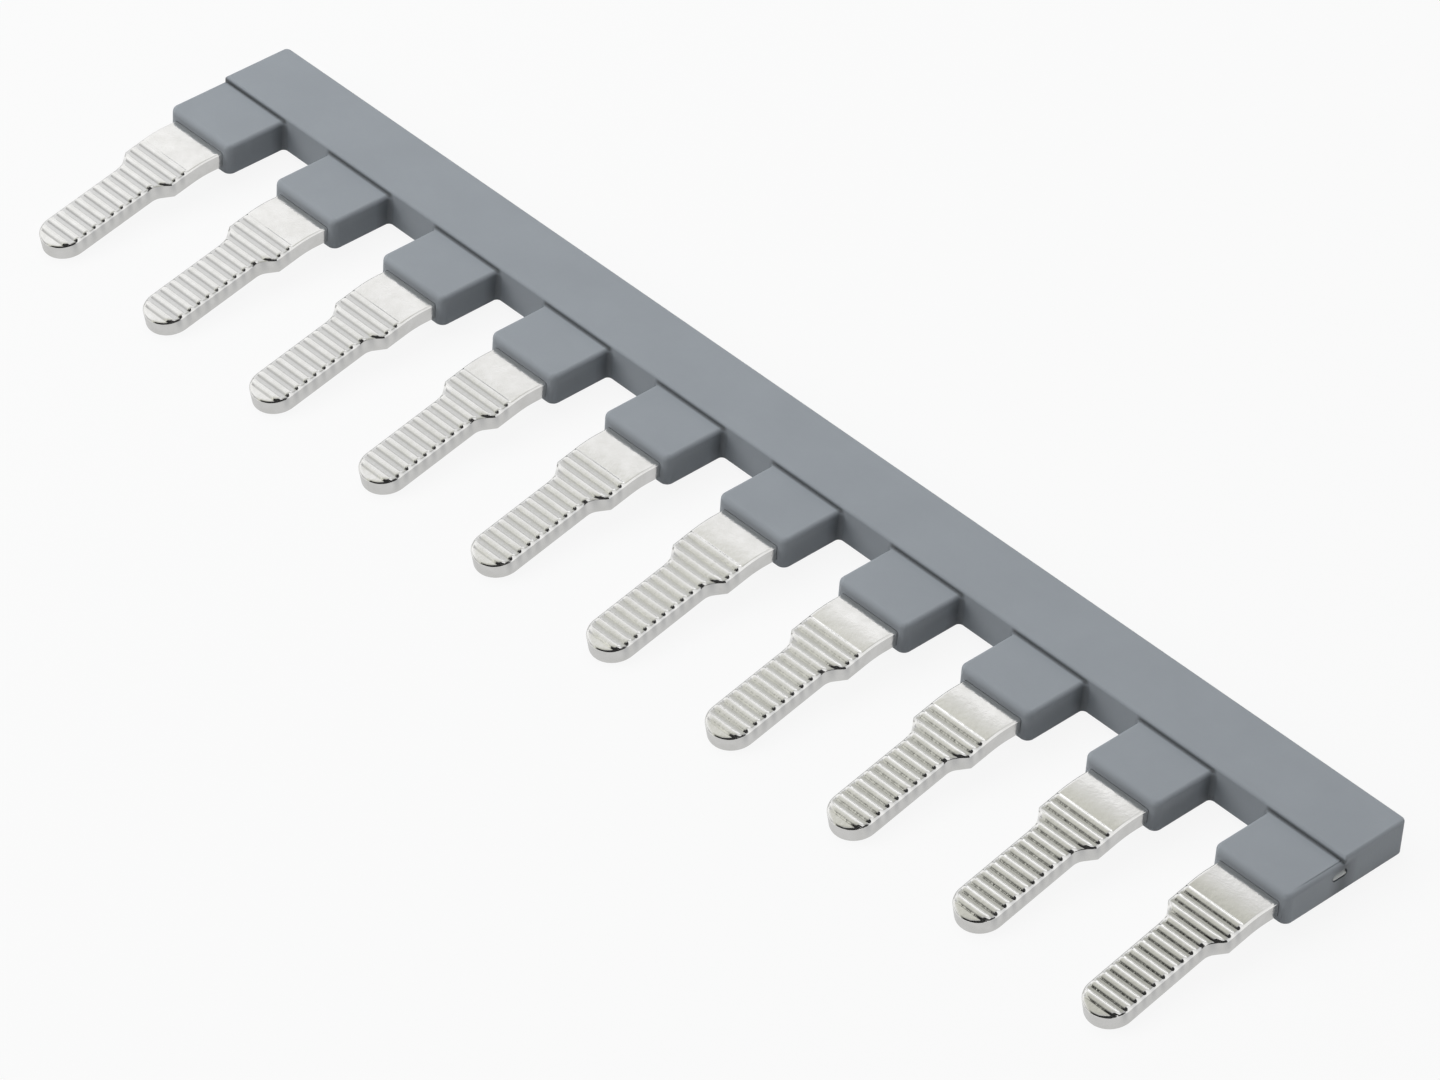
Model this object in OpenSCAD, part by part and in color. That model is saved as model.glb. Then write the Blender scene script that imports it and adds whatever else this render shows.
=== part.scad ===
// Jumper bar for a row of screw terminal blocks.
// A flat stamped comb of contact tongues is moulded into a plastic spine. Each tongue leaves the
// spine through a stepped shoulder, bends down a little, narrows and ends in a round, ribbed blade.
// The bar lies as it would on a bench, on the tips of its tongues and the back edge of its spine.

/* [Ways] */
// Number of tongues
ways = 10; // [2:1:20]
// Distance from one tongue to the next
pitch = 12.2; // [9.5:0.1:20]

/* [Spine] */
// Width of the spine, from its front face to its back
spine_w = 6.25; // [5.5:0.05:10]
// Height of the spine
spine_h = 3.0; // [2.8:0.05:5]
// Radius of the spine's top edges
spine_edge_r = 0.25; // [0.1:0.05:0.6]
// Radius of the spine's upright back edges
spine_corner_r = 0.45; // [0.1:0.05:1]

/* [Shoulders] */
// Width of a shoulder
shoulder_w = 7.0; // [6.4:0.05:8.5]
// Depth of a shoulder, from the spine's front face to its own
shoulder_d = 5.55; // [3:0.05:9]
// Height of a shoulder
shoulder_h = 2.6; // [2.3:0.05:2.75]
// Radius of a shoulder's upright front edges
shoulder_corner_r = 0.6; // [0.2:0.05:1.2]
// Radius of a shoulder's top front edge
shoulder_front_r = 0.5; // [0.1:0.05:0.6]
// Radius of a shoulder's top side edges
shoulder_side_r = 0.35; // [0.1:0.05:0.6]
// Radius of the inside corner between shoulder and spine
shoulder_fillet_r = 0.35; // [0.1:0.05:0.8]

/* [Strip] */
// Thickness of the metal strip
strip_t = 1.25; // [0.9:0.05:1.4]
// Height of the strip's underside above the body's underside
strip_z = 0.47; // [0.3:0.01:0.7]
// Width of the bus strip inside the spine
bus_w = 4.2; // [3:0.1:4.6]
// Distance from the spine's front face back to the bus strip
bus_inset = 0.8; // [0.4:0.05:0.9]
// Width of the rolled edge along the top of a tongue
roll_w = 0.2; // [0.2:0.05:0.8]
// Depth of the rolled edge along the top of a tongue
roll_d = 0.1; // [0.1:0.01:0.4]
// Clearance between the strip and the plastic around it
insert_gap = 0.02; // [0.01:0.01:0.1]

/* [Tongues] */
// Width of a tongue where it leaves its shoulder
tongue_w = 5.5; // [4.8:0.05:6]
// Straight length between the shoulder and the bend
lead_l = 1.0; // [0.3:0.05:3]
// Angle by which a tongue bends down
bend_angle = 13; // [4:0.5:20]
// Radius of the bend, at the middle of the strip
bend_r = 9; // [4:0.5:15]
// Length of the wide part past the bend
wide_l = 1.85; // [1.2:0.05:4]
// Length over which the tongue narrows
flank_l = 1.1; // [0.7:0.05:2.5]
// Radius of the inside corner where the tongue has narrowed
flank_r = 1.2; // [0.3:0.05:1.5]
// Width of the narrow blade
blade_w = 3.7; // [2.8:0.05:4.4]
// Length of the narrow blade, to the end of its round tip
blade_l = 9.25; // [7:0.05:14]

/* [Ribs] */
// Number of raised cross ribs on a tongue
rib_count = 13; // [1:1:13]
// Distance from the end of the bend to the first rib
rib_start = 0.4; // [0.35:0.05:1]
// Distance from one rib to the next
rib_pitch = 0.9; // [0.7:0.01:0.92]
// Radius of a rib's round back
rib_r = 0.5; // [0.3:0.01:0.5]
// Height of a rib
rib_h = 0.12; // [0.05:0.01:0.15]
// Distance from the end of a rib to the rolled edge
rib_margin = 0.03; // [0.02:0.01:0.3]

/* [Gate mark] */
// Length of the shallow slot that the moulding gate left on one end
gate_w = 1.5; // [0.8:0.05:1.8]
// Height of the gate's slot
gate_h = 0.7; // [0.3:0.05:0.75]
// Depth of the gate's slot
gate_depth = 0.2; // [0.1:0.05:0.4]
// Distance of the slot's middle in front of the spine
gate_y = 0.35; // [0:0.05:1]
// Height of the slot's middle above the underside
gate_z = 1.65; // [1:0.05:1.8]

/* [Hidden] */
$fn = 48;

// Overshoot of cutting shapes past the faces that they cut
over = 0.2;

// Lap of lengths that run on from one another, so that they fuse
weld = 0.00000001;

bar_l = (ways - 1) * pitch + shoulder_w;
bus_l = (ways - 1) * pitch + tongue_w;
first_x = -(ways - 1) * pitch / 2;

// Circle through the start and end of the rolled edge, level with the top face where it starts
roll_r = (roll_w * roll_w + roll_d * roll_d) / (2 * roll_d);

// Distance from the outline of a tongue to the ends of its ribs
rib_side = roll_w + rib_margin;

// Plan of the narrowing: slant of the flank and length of the tangents to its inside corner
flank_step = (tongue_w - blade_w) / 2;
flank_slant = atan(flank_step / flank_l);
flank_edge_l = sqrt(flank_step * flank_step + flank_l * flank_l);
flank_tangent = flank_r * tan(flank_slant / 2);
flank_web_x = flank_tangent * sin(flank_slant);
flank_web_y = flank_tangent * cos(flank_slant);
tongue_l = wide_l + flank_l + blade_l;
tip_r = blade_w / 2;

// Bend: where it starts in front of the spine, and the height of its centre
bend_start = shoulder_d + lead_l;
bend_inner_r = bend_r - strip_t / 2;
bend_z = strip_z - bend_inner_r;

// Lowest edge of a tongue's tip, in the frame of the spine
tip_y = -bend_start - tongue_l * cos(bend_angle) - bend_inner_r * sin(bend_angle);
tip_z = bend_z - tongue_l * sin(bend_angle) + bend_inner_r * cos(bend_angle);

// Tilt at which tips and back edge touch the bench, and how far the bar reaches from that edge
lie_angle = atan(-tip_z / (spine_w - tip_y));
reach_front = (spine_w - tip_y) / cos(lie_angle) + (strip_t - roll_d) * sin(bend_angle - lie_angle);
reach_back = (spine_h - spine_edge_r) * sin(lie_angle) + spine_edge_r * (1 - cos(lie_angle));
bench_y = (reach_front - reach_back) / 2;

// Lays the bar down, with the origin under the middle of its outline
module on_bench() {
    translate([0, bench_y, 0])
        rotate([-lie_angle, 0, 0])
            translate([0, -spine_w, 0])
                children();
}

module at_each_way() {
    for (i = [0 : ways - 1])
        translate([first_x + i * pitch, 0, 0])
            children();
}

// Runs a profile of width and height along -Y
module along(length) {
    rotate([90, 0, 0])
        linear_extrude(length)
            children();
}

// Runs a profile of depth and height along the whole bar
module across(length) {
    translate([-length / 2, 0, 0])
        rotate([90, 0, 90])
            linear_extrude(length)
                children();
}

// What a round edge takes off a corner that points right and up
module corner_cut(r) {
    difference() {
        translate([-r, -r])
            square(r + over);
        translate([-r, -r])
            circle(r);
    }
}

// Rectangle on the X axis with both upper corners round
module arched(width, height, r) {
    difference() {
        translate([-width / 2, 0])
            square([width, height]);
        for (side = [0, 1])
            mirror([side, 0])
                translate([width / 2, height])
                    corner_cut(r);
    }
}

// Spine: a bar with round top edges and round upright edges
module spine() {
    intersection() {
        across(bar_l)
            translate([spine_w / 2, 0])
                arched(spine_w, spine_h, spine_edge_r);
        translate([0, spine_w, 0])
            along(spine_w)
                arched(bar_l, spine_h, spine_edge_r);
        linear_extrude(spine_h)
            difference() {
                translate([-bar_l / 2, 0])
                    square([bar_l, spine_w]);
                for (side = [0, 1])
                    mirror([side, 0])
                        translate([bar_l / 2, spine_w])
                            corner_cut(spine_corner_r);
            }
    }
}

// Plan of one shoulder, from its front face back into the spine
module shoulder_plan() {
    translate([0, -shoulder_d])
        difference() {
            translate([-shoulder_w / 2, 0])
                square([shoulder_w, shoulder_d + bus_inset]);
            for (side = [0, 1])
                mirror([side, 0])
                    translate([shoulder_w / 2, 0])
                        mirror([0, 1])
                            corner_cut(shoulder_corner_r);
        }
}

// All shoulders: plan, end view and side view cut from one another
module shoulders() {
    intersection() {
        linear_extrude(shoulder_h)
            at_each_way()
                shoulder_plan();
        translate([0, bus_inset, 0])
            along(shoulder_d + bus_inset)
                at_each_way()
                    arched(shoulder_w, shoulder_h, shoulder_side_r);
        across(bar_l)
            difference() {
                translate([-shoulder_d, 0])
                    square([shoulder_d + bus_inset, shoulder_h]);
                translate([-shoulder_d, shoulder_h])
                    mirror([1, 0])
                        corner_cut(shoulder_front_r);
            }
    }
}

// Rounds of plastic in the inside corners between shoulders and spine
module shoulder_fillets() {
    linear_extrude(shoulder_h - shoulder_side_r)
        for (i = [0 : ways - 2], side = [0, 1])
            translate([first_x + (i + 0.5) * pitch, 0])
                mirror([side, 0])
                    translate([(pitch - shoulder_w) / 2, 0])
                        difference() {
                            translate([-shoulder_fillet_r, -shoulder_fillet_r])
                                square(shoulder_fillet_r + over);
                            translate([-shoulder_fillet_r, -shoulder_fillet_r])
                                circle(shoulder_fillet_r);
                        }
}

// Slot where the moulding gate broke off, in one end
module gate_slot() {
    translate([bar_l / 2 - gate_depth, -gate_y, gate_z])
        rotate([90, 0, 90])
            linear_extrude(gate_depth + over) {
                square([gate_w - gate_h, gate_h], center = true);
                for (side = [0, 1])
                    mirror([side, 0])
                        translate([(gate_w - gate_h) / 2, 0])
                            circle(d = gate_h);
            }
}

// What a rolled edge takes off a strip's upper right corner
module roll_cut() {
    difference() {
        translate([-roll_w, -roll_d])
            square([roll_w + over, roll_d + over]);
        translate([-roll_w, -roll_r])
            circle(roll_r);
    }
}

// Section of a strip with rolled upper edges, grown by the clearance of its cavity
module strip_section(width, gap) {
    difference() {
        translate([-width / 2 - gap, -gap])
            square([width + 2 * gap, strip_t + 2 * gap]);
        for (side = [0, 1])
            mirror([side, 0])
                translate([width / 2 + gap, strip_t + gap])
                    roll_cut();
    }
}

// Bus strip and the straight roots of all tongues, or the cavity that holds them
module strip_core(gap, root_end) {
    translate([-bus_l / 2 - gap, bus_inset - gap, strip_z - gap])
        cube([bus_l + 2 * gap, bus_w + 2 * gap, strip_t + 2 * gap]);
    at_each_way()
        translate([0, -root_end - weld, strip_z])
            rotate([0, 0, 180])
                along(root_end + bus_inset + bus_w / 2)
                    strip_section(tongue_w, gap);
}

// Moves to the end of the bend, where a tongue runs on straight and down
module past_bend() {
    translate([0, -bend_start, bend_z])
        rotate([bend_angle, 0, 0])
            translate([0, 0, bend_inner_r])
                children();
}

// Bend: the strip's section turned about an axis below the tongue
module bend() {
    translate([0, -bend_start, bend_z])
        rotate([0, -90, 180])
            rotate_extrude(angle = bend_angle)
                translate([bend_inner_r, 0])
                    rotate(-90)
                        strip_section(tongue_w, 0);
}

// Centre of the inside corner on the right of a tongue, past the bend
module at_flank_corner() {
    translate([blade_w / 2 + flank_r, -wide_l - flank_l - flank_tangent, 0])
        children();
}

// Plan of a tongue past the bend: wide part, flank, inside corners and round-ended blade
module tongue_plan() {
    translate([-tongue_w / 2, -wide_l])
        square([tongue_w, wide_l + weld]);
    polygon([
        [-tongue_w / 2, -wide_l],
        [-blade_w / 2, -wide_l - flank_l],
        [blade_w / 2, -wide_l - flank_l],
        [tongue_w / 2, -wide_l],
    ]);
    for (side = [0, 1])
        mirror([side, 0])
            flank_web();
    translate([-blade_w / 2, -tongue_l + tip_r])
        square([blade_w, blade_l - tip_r]);
    translate([0, -tongue_l + tip_r])
        circle(tip_r);
}

// Metal in the right-hand inside corner, between the flank, the blade and the corner's arc
module flank_web() {
    difference() {
        polygon([
            [blade_w / 2, -wide_l - flank_l],
            [blade_w / 2, -wide_l - flank_l - flank_tangent],
            [blade_w / 2 + flank_web_x, -wide_l - flank_l + flank_web_y],
        ]);
        at_flank_corner()
            circle(flank_r);
    }
}

// Rolled edge down the right-hand side of a tongue past the bend
module side_roll() {
    translate([tongue_w / 2, over, strip_t])
        along(wide_l + roll_w + over)
            roll_cut();
    translate([tongue_w / 2, -wide_l, strip_t])
        rotate([0, 0, -flank_slant])
            translate([0, roll_w, 0])
                along(flank_edge_l - flank_tangent + roll_w + weld)
                    roll_cut();
    translate([0, 0, strip_t])
        at_flank_corner()
            rotate([0, 0, 180 - flank_slant])
                rotate_extrude(angle = flank_slant)
                    translate([flank_r, 0])
                        mirror([1, 0])
                            roll_cut();
    translate([blade_w / 2, -wide_l - flank_l - flank_tangent + weld, strip_t])
        along(blade_l - flank_tangent - tip_r + 2 * weld)
            roll_cut();
}

// Rolled edge round the tip
module tip_roll() {
    translate([0, -tongue_l + tip_r, strip_t])
        rotate([0, 0, 180])
            rotate_extrude(angle = 180)
                translate([tip_r, 0])
                    roll_cut();
}

// Tongue past the bend, before its ribs
module tongue_blade() {
    difference() {
        linear_extrude(strip_t)
            tongue_plan();
        for (side = [0, 1])
            mirror([side, 0, 0])
                side_roll();
        tip_roll();
    }
}

// Plan of the flat on top of a tongue, where ribs may stand
module rib_field() {
    translate([-tongue_w / 2 + rib_side, -wide_l])
        square([tongue_w - 2 * rib_side, wide_l]);
    polygon([
        [-tongue_w / 2 + rib_side, -wide_l],
        [-blade_w / 2 + rib_side, -wide_l - flank_l],
        [blade_w / 2 - rib_side, -wide_l - flank_l],
        [tongue_w / 2 - rib_side, -wide_l],
    ]);
    translate([-blade_w / 2 + rib_side, -tongue_l + tip_r])
        square([blade_w - 2 * rib_side, blade_l - tip_r]);
    translate([0, -tongue_l + tip_r])
        circle(tip_r - rib_side);
}

// Ribs in line across all tongues, with round backs
module ribs() {
    past_bend()
        intersection() {
            for (i = [0 : rib_count - 1])
                translate([-bar_l / 2, -rib_start - i * rib_pitch, strip_t + rib_h - rib_r])
                    rotate([0, 90, 0])
                        cylinder(r = rib_r, h = bar_l);
            translate([0, 0, strip_t / 2])
                linear_extrude(strip_t / 2 + rib_h + over)
                    at_each_way()
                        rib_field();
        }
}

module insulating_body() {
    color([0.45, 0.47, 0.50])
        on_bench()
            difference() {
                union() {
                    spine();
                    shoulders();
                    shoulder_fillets();
                }
                strip_core(insert_gap, shoulder_d + over);
                gate_slot();
            }
}

module contact_comb() {
    color([0.86, 0.86, 0.85])
        on_bench()
            union() {
                strip_core(0, bend_start);
                at_each_way() {
                    bend();
                    past_bend()
                        tongue_blade();
                }
                ribs();
            }
}

insulating_body();
contact_comb();
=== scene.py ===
"""Looks of a terminal block jumper bar: a grey moulded spine with bright, ribbed contact tongues."""

import math

import bmesh
import bpy
from bpy.props import FloatProperty, FloatVectorProperty, IntProperty, PointerProperty
from bpy.types import Operator, Panel, PropertyGroup
from mathutils import Matrix, Vector


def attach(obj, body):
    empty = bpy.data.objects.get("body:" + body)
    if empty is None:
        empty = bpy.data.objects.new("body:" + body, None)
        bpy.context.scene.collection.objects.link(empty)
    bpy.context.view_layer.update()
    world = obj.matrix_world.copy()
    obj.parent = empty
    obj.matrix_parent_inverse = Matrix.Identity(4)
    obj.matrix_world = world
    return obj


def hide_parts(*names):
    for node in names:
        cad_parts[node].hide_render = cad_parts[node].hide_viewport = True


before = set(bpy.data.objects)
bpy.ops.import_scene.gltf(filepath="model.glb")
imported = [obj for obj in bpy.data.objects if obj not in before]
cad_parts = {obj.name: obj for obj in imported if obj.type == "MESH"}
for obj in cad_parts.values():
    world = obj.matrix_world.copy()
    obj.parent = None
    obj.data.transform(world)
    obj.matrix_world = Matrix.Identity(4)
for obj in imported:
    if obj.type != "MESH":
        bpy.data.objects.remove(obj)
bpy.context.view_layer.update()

bl_info = {
    "name": "Terminal Jumper Bar",
    "version": (1, 0, 0),
    "blender": (4, 5, 0),
    "location": "3D View > Sidebar > Jumper Bar",
    "description": "Builds the looks of a ten-way jumper bar for terminal blocks",
    "category": "Object",
}

MM = 0.001

# Distances within which two places are one, a cut runs through a corner, and corners are welded
SAME = 0.001 * MM
CUT = 0.0001 * MM
WELD = 0.0002 * MM

# Least part of a face's normal along an axis that the face looks along
FACING = 0.999

# Steps of the moulding's round corners and edges, and of its foot
CORNER_STEPS = 6
FOOT_STEPS = 2

# Mesh of a tongue: steps of its bend, angles round its tip, and shares of its lead, of a rib's half width,
# of its rolled edge and of its flat middle
BEND_STEPS = 10
TIP_ANGLES = range(6, 87, 4)
LEAD_SHARES = (0.0, 0.35, 0.7, 1.0)
RIB_SHARES = (1.24, 1.12, 1.04, 0.97, 0.88, 0.74, 0.52, 0.26)
ROLL_SHARES = (0.0, 0.06, 0.15, 0.27, 0.42, 0.6, 0.8, 1.0)
FLAT_SHARES = (0.75, 0.5, 0.25)

# Distances of the columns where a rib's end comes down, from the rolled edge
RIB_END_COLUMNS = (0.06 * MM, 0.12 * MM, 0.2 * MM)


def length(name, description, default_mm):
    """A length property, written in millimetres."""
    return FloatProperty(name=name, description=description, default=default_mm * MM, min=0.0,
                         precision=5, subtype="DISTANCE", unit="LENGTH")


def share(name, description, default):
    """A property between none and all."""
    return FloatProperty(name=name, description=description, default=default, min=0.0, max=1.0,
                         subtype="FACTOR")


def brightness(name, description, default):
    """A property for the brightness of a lamp, where 1 is white in the picture."""
    return FloatProperty(name=name, description=description, default=default, min=0.0)


def colour(name, description, default):
    """A colour property in linear light."""
    return FloatVectorProperty(name=name, description=description, default=default, size=3,
                               min=0.0, max=1.0, subtype="COLOR")


class JumperBarSizes(PropertyGroup):
    """Sizes of the bar as its solids have them, and of the finer forms that they lack."""

    ways: IntProperty(name="Ways", description="Number of tongues", default=10, min=2)
    pitch: length("Pitch", "Distance from one tongue to the next", 12.2)
    spine_w: length("Spine width", "From the spine's front face to its back", 6.25)
    spine_h: length("Spine height", "Height of the spine", 3.0)
    spine_edge_r: length("Spine edge", "Radius of the spine's top edges", 0.25)
    spine_corner_r: length("Spine corner", "Radius of the spine's upright back edges", 0.45)
    shoulder_w: length("Shoulder width", "Width of a shoulder", 7.0)
    shoulder_d: length("Shoulder depth", "From the spine's front face to a shoulder's", 5.55)
    shoulder_h: length("Shoulder height", "Height of a shoulder", 2.6)
    shoulder_corner_r: length("Shoulder corner", "Radius of a shoulder's upright front edges", 0.6)
    shoulder_front_r: length("Shoulder front edge", "Radius of a shoulder's top front edge", 0.5)
    shoulder_side_r: length("Shoulder side edge", "Radius of a shoulder's top side edges", 0.35)
    shoulder_fillet_r: length("Shoulder fillet", "Radius between shoulder and spine", 0.35)
    strip_t: length("Strip thickness", "Thickness of the metal strip", 1.25)
    strip_z: length("Strip height", "Height of the strip above the body's underside", 0.47)
    bus_w: length("Bus width", "Width of the bus strip inside the spine", 4.2)
    bus_inset: length("Bus inset", "From the spine's front face back to the bus strip", 0.8)
    roll_w: length("Roll width", "Width of a tongue's rolled edge", 0.2)
    roll_d: length("Roll depth", "Depth of a tongue's rolled edge", 0.1)
    insert_gap: length("Insert gap", "Clearance between strip and plastic", 0.02)
    tongue_w: length("Tongue width", "Width of a tongue at its shoulder", 5.5)
    lead_l: length("Lead", "Straight length between shoulder and bend", 1.0)
    bend_angle: FloatProperty(name="Bend", description="Angle by which a tongue bends down",
                              default=math.radians(13), subtype="ANGLE", unit="ROTATION")
    bend_r: length("Bend radius", "Radius of the bend at the middle of the strip", 9.0)
    wide_l: length("Wide length", "Length of the wide part past the bend", 1.85)
    flank_l: length("Flank length", "Length over which a tongue narrows", 1.1)
    flank_r: length("Flank radius", "Radius of the corner where a tongue has narrowed", 1.2)
    blade_w: length("Blade width", "Width of the narrow blade", 3.7)
    blade_l: length("Blade length", "Length of the narrow blade to the end of its tip", 9.25)
    rib_count: IntProperty(name="Ribs", description="Raised cross ribs on a tongue", default=13, min=1)
    rib_start: length("First rib", "From the end of the bend to the first rib", 0.4)
    rib_pitch: length("Rib pitch", "Distance from one rib to the next", 0.9)
    rib_r: length("Rib radius", "Radius of a rib's round back", 0.5)
    rib_h: length("Rib height", "Height of a rib", 0.12)
    rib_end: length("Rib end", "Distance from a tongue's outline within which a rib's end falls away", 0.36)
    rib_soft: length("Rib foot", "Softness of the ribs' feet under the plating", 0.04)
    flank_ease: share("Flank ease", "Share by which the roll is shallower on the flanks", 0.7)
    crease: length("Crease", "Width and depth of the crease at the foot of the step", 0.1)
    # Reaches of the painted shade at the foot of the step and on the shoulders' sides next to the spine
    shade_w: length("Shade width", "Reach of the dark seam at the foot of the step", 0.3)
    shade_side: length("Corner shade", "Reach of the darker tone beside the shoulders", 1.4)
    foot_r: length("Foot edge", "Radius of the moulding's bottom edges", 0.08)
    slot_d: length("Slot depth", "Depth of the slot round a tongue in its shoulder's front", 0.8)
    gate_w: length("Gate length", "Length of the slot where the gate broke off", 1.5)
    gate_h: length("Gate height", "Height of the gate's slot", 0.7)
    gate_depth: length("Gate depth", "Depth of the gate's slot", 0.2)
    gate_y: length("Gate place", "Distance of the slot in front of the spine", 0.35)
    gate_z: length("Gate level", "Height of the slot above the underside", 1.65)
    stub_out: share("Stub reach", "Share of the gate's slot that the torn stub fills in depth", 0.9)
    stub_low: share("Stub drop", "Drop of the torn stub, as a share of the slot's half height", 0.35)
    stub_h: share("Stub height", "Share of the gate's slot that the torn stub fills in height", 0.32)


class JumperBarFinish(PropertyGroup):
    """Colours and finishes of the two materials."""

    plastic: colour("Plastic", "Colour of the grey moulding", (0.276, 0.300, 0.330))
    plastic_pale: colour("Pale plastic", "Colour of the moulding's paler clouds", (0.292, 0.317, 0.348))
    plastic_torn: colour("Torn plastic", "Colour of the stub where the gate tore off", (0.58, 0.60, 0.60))
    # Painted shade: colour mixed in at the foot of the step and beside the shoulders, where shade falls
    plastic_painted_shade: colour("Shaded plastic", "Colour of the moulding in its corners", (0.120, 0.130, 0.140))
    plastic_rough: share("Plastic roughness", "Roughness of the moulding", 0.52)
    plating: colour("Plating", "Colour of the bright plating", (0.86, 0.855, 0.84))
    plating_dull: colour("Dull plating", "Colour of the plating's duller clouds", (0.80, 0.795, 0.775))
    # Painted shade: darker plating between the ribs, where shade falls
    plating_painted_shade: colour("Worn plating", "Colour of the plating between the ribs", (0.655, 0.655, 0.65))
    plating_rough: share("Plating roughness", "Roughness of the plating", 0.13)


class JumperBarStudio(PropertyGroup):
    """Camera and light of the studio."""

    camera_place: FloatVectorProperty(name="Camera", description="Place of the camera", size=3,
                                      default=(0.264405, -0.238504, 0.328163), subtype="TRANSLATION")
    camera_aim: FloatVectorProperty(name="Aim", description="Point that the camera looks at", size=3,
                                    default=(0.0033, 0.001298, 0.0), subtype="TRANSLATION")
    camera_roll: FloatProperty(name="Roll", description="Turn of the camera about its line of sight",
                               default=math.radians(-1.0228), subtype="ANGLE", unit="ROTATION")
    camera_lens: FloatProperty(name="Lens", description="Focal length for a frame 36 mm wide, in mm",
                               default=168.574, unit="CAMERA")
    overhead: brightness("Overhead", "Brightness of the overhead softbox", 1.8)
    low_right: brightness("Low right", "Brightness of the low softbox on the right", 3.8)
    front_left: brightness("Front left", "Brightness of the softbox at the front left", 3.35)
    room: share("Room", "Brightness of the room for what isn't seen or mirrored", 0.38)
    floor_colour: colour("Floor", "Colour of the pale floor", (0.64, 0.64, 0.64))
    floor_glow: share("Floor glow", "Share of the floor's white that no shadow takes away", 0.9)
    floor_mirrored: share("Mirrored floor", "Brightness of the floor in the metal", 0.66)


def sizes():
    return bpy.context.scene.jumper_bar_sizes


def finish():
    return bpy.context.scene.jumper_bar_finish


def studio():
    return bpy.context.scene.jumper_bar_studio


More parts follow.
